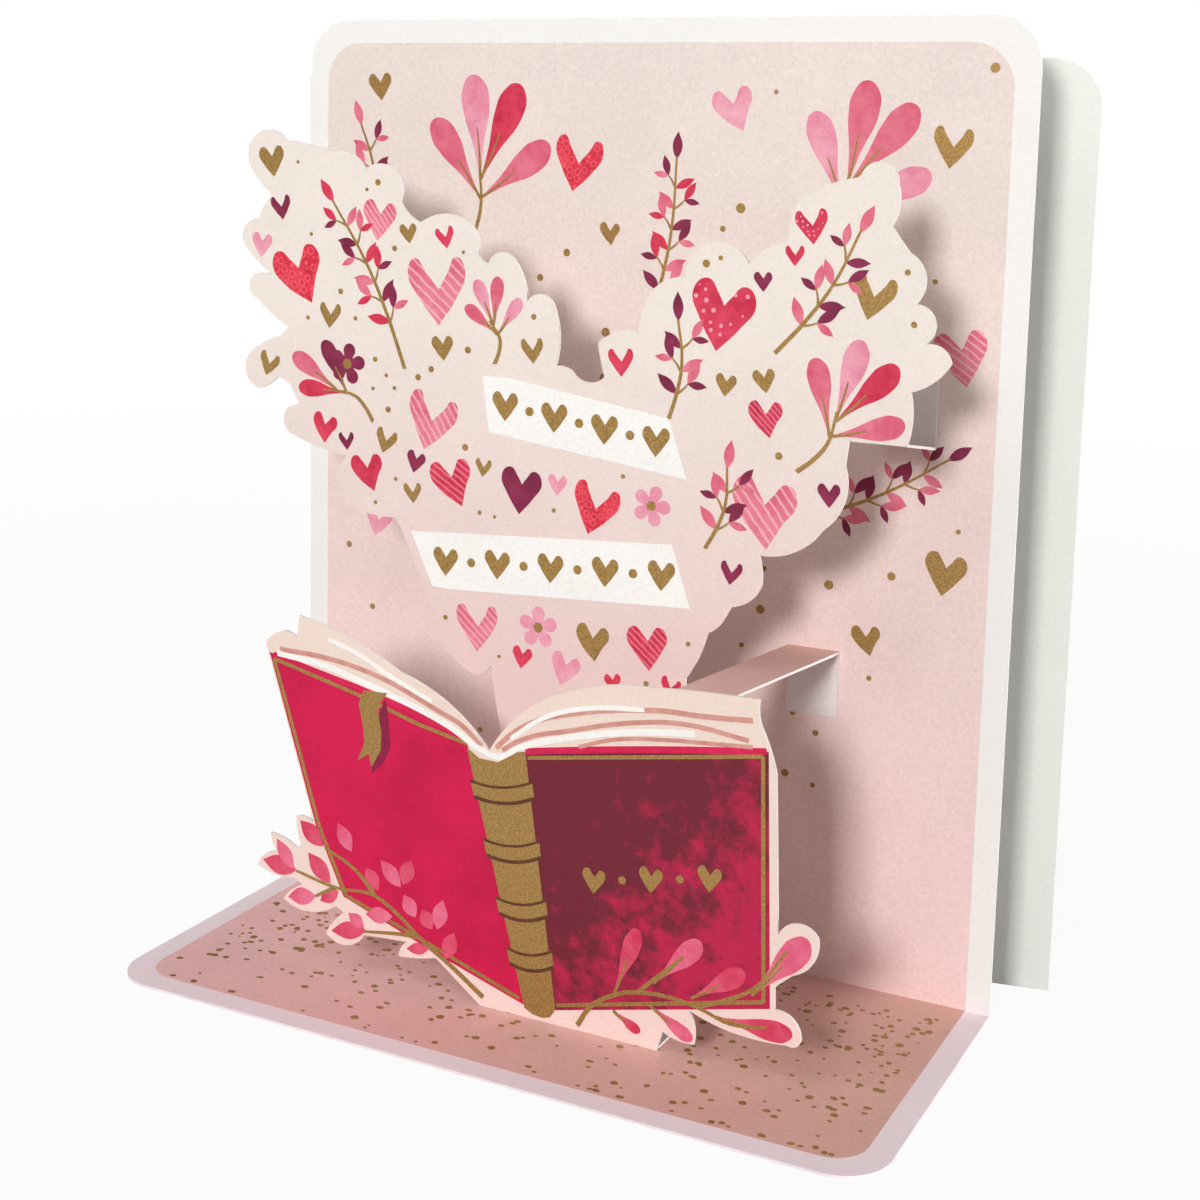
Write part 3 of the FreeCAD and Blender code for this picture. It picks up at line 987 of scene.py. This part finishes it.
def printSprays():
    for side, spray in (("left", leftSpray), ("right", rightSpray)):
        for index, middle in enumerate(spray["stems"]):
            widths = [0.38 - 0.18 * step / (len(middle) - 1) for step in range(len(middle))]
            stamp("book", "Gold", strokeShape(side + "Stem" + str(index), middle, widths), layer=7)
    for index, (root, tip, half) in enumerate(leftSpray["outer"]):
        leafTo("book", ("Coral", "PaleCoral", "Coral")[index % 3], leaf, root, tip, half, 6)
    for index, (root, tip) in enumerate(leftSpray["inner"]):
        leafTo("book", ("PaleCoral", "Coral")[index % 2], leaf, root, tip, innerHalf, 6)
    for index, (root, tip, half) in enumerate(rightSpray["petals"]):
        leafTo("book", ("Coral", "PaleCoral")[index % 2], petal, root, tip, half, 6)
        middle = tuple(a + sprayTwig["share"] * (b - a) for a, b in zip(root, tip))
        leafTo("book", "Gold", twig, root, middle, sprayTwig["half"], 7)


def printBook(setup):
    for name in ("LeftCover", "RightCover"):
        stamp("book", name, fieldShape(name, setup[name]), layer=2)
    for name, (ink, half, layer, middle) in bookStrokes.items():
        drawStroke("book", ink, name, middle, half, layer)
    for name in ("leftFrame", "rightFrame"):
        points = setup[name]
        for index in range(len(points) - 1):
            drawStroke("book", "Gold", name + str(index), points[index:index + 2], 0.3, 3)
    stamp("book", "Shade", fieldShape("ribbonShade", setup["ribbonShade"]), layer=4)
    stamp("book", "Gold", fieldShape("ribbon", setup["ribbon"]), layer=5)
    stripOrnament("book", (12.5, 24.6), (31.0, 28.6), 5, 2.0)
    printSpine(spineSetup)
    printSprays()


printBackdrop(backdropPrint)
printFlap(flapPrint)
print("card printed")
printHeart(heartPrint)
print("heart panel printed")
printBook(bookPrint)
print("book panel printed")


def joinPrint(panel, ink, stamps):
    bpy.ops.object.select_all(action="DESELECT")
    for piece in stamps:
        piece.select_set(True)
    bpy.context.view_layer.objects.active = stamps[0]
    if len(stamps) > 1:
        bpy.ops.object.join()
    piece = stamps[0]
    piece.name = panel + "Print" + ink
    setup = panels[panel]
    lay = Matrix.Rotation(math.radians(-90 if setup["lying"] else 0), 4, "X")
    lift = Matrix.Translation(setup["origin"])
    if setup["lying"]:
        lift = lift @ Matrix.Translation((0, flapDepth * mm, 0))
    piece.data.transform(lift @ lay)
    piece.data.materials.clear()
    piece.data.materials.append(inks[ink])
    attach(piece, "root")
    return len(piece.data.polygons)


faceCount = 0
for (panelName, inkName), stamps in printed.items():
    faceCount += joinPrint(panelName, inkName, stamps)
for template in templates:
    bpy.data.objects.remove(template)
print("print joined:", len(printed), "pieces,", faceCount, "faces")


# Stage
stageSetup = {
    "reach": 3.0, "drop": 0.02, "shade": (186, 182, 182), "glow": 0.95, "fadeFrom": 0.2, "fadeTo": 0.7}


def either(tree, first, second):
    return maths(tree, "ADD", first, second, clamp=True)


def mixShaders(tree, share, first, second):
    mixed = tree.nodes.new("ShaderNodeMixShader")
    for socket, source in zip(mixed.inputs, (share, first.outputs[0], second.outputs[0])):
        tree.links.new(source, socket)
    return mixed.outputs[0]


def makeStage(setup):
    bpy.ops.mesh.primitive_circle_add(vertices=96, radius=setup["reach"], fill_type="NGON")
    floor = bpy.context.object
    floor.name = "floor"
    floor.location.z = -setup["drop"] * mm
    material, tree, shader = newMaterial("floorPaper")
    shader.inputs["Base Color"].default_value = colour(*setup["shade"])
    shader.inputs["Roughness"].default_value = 0.9
    shader.inputs["Specular IOR Level"].default_value = 0.1
    glow = addNode(tree, "ShaderNodeEmission", Strength=1.0)
    path = tree.nodes.new("ShaderNodeLightPath")
    distance = tree.nodes.new("ShaderNodeVectorMath")
    distance.operation = "LENGTH"
    tree.links.new(objectPlace(tree), distance.inputs[0])
    far = ramp(tree, distance.outputs["Value"], setup["fadeFrom"], setup["fadeTo"], setup["glow"], 1.0)
    seen = either(tree, path.outputs["Is Camera Ray"], path.outputs["Is Glossy Ray"])
    mixed = mixShaders(tree, both(tree, far, seen), shader, glow)
    tree.links.new(mixed, tree.nodes["Material Output"].inputs["Surface"])
    floor.data.materials.append(material)


worldLight = {"tint": (1.0, 0.94, 0.96, 1.0), "strength": 0.13}


def makeWorld(setup):
    world = bpy.context.scene.world or bpy.data.worlds.new("studio")
    bpy.context.scene.world = world
    world.use_nodes = True
    tree = world.node_tree
    tree.nodes.clear()
    path = tree.nodes.new("ShaderNodeLightPath")
    seen = either(tree, path.outputs["Is Camera Ray"], path.outputs["Is Transmission Ray"])
    plain = addNode(tree, "ShaderNodeBackground", Color=setup["tint"], Strength=setup["strength"])
    white = addNode(tree, "ShaderNodeBackground", Color=(1, 1, 1, 1), Strength=1.0)
    output = tree.nodes.new("ShaderNodeOutputWorld")
    tree.links.new(mixShaders(tree, seen, plain, white), output.inputs["Surface"])


lampAim = (0, 0, 0.07)
lamps = {
    "keyLamp": {"place": (0.05, -1.06, 0.50), "size": 0.26, "power": 8.5},
    "fillLamp": {"place": (1.0, -0.55, 0.45), "size": 0.7, "power": 0.6},
    "topLamp": {"place": (-0.35, -0.55, 1.05), "size": 0.7, "power": 3.4},
    "sideLamp": {"place": (1.2, 0.075, 0.03), "size": 0.12, "power": 14.0},
    "backLamp": {"place": (0.0, 1.15, 0.5), "size": 0.5, "power": 4.5},
}


def makeLamps(setups):
    for name, setup in setups.items():
        bpy.ops.object.light_add(type="AREA", location=setup["place"])
        lamp = bpy.context.object
        lamp.name = name
        lamp.data.size = setup["size"]
        lamp.data.energy = setup["power"]
        away = Vector(setup["place"]) - Vector(lampAim)
        lamp.rotation_euler = away.to_track_quat("Z", "Y").to_euler()


makeStage(stageSetup)
makeWorld(worldLight)
makeLamps(lamps)
bpy.context.scene.view_settings.view_transform = "Standard"
print("stage and lamps set")
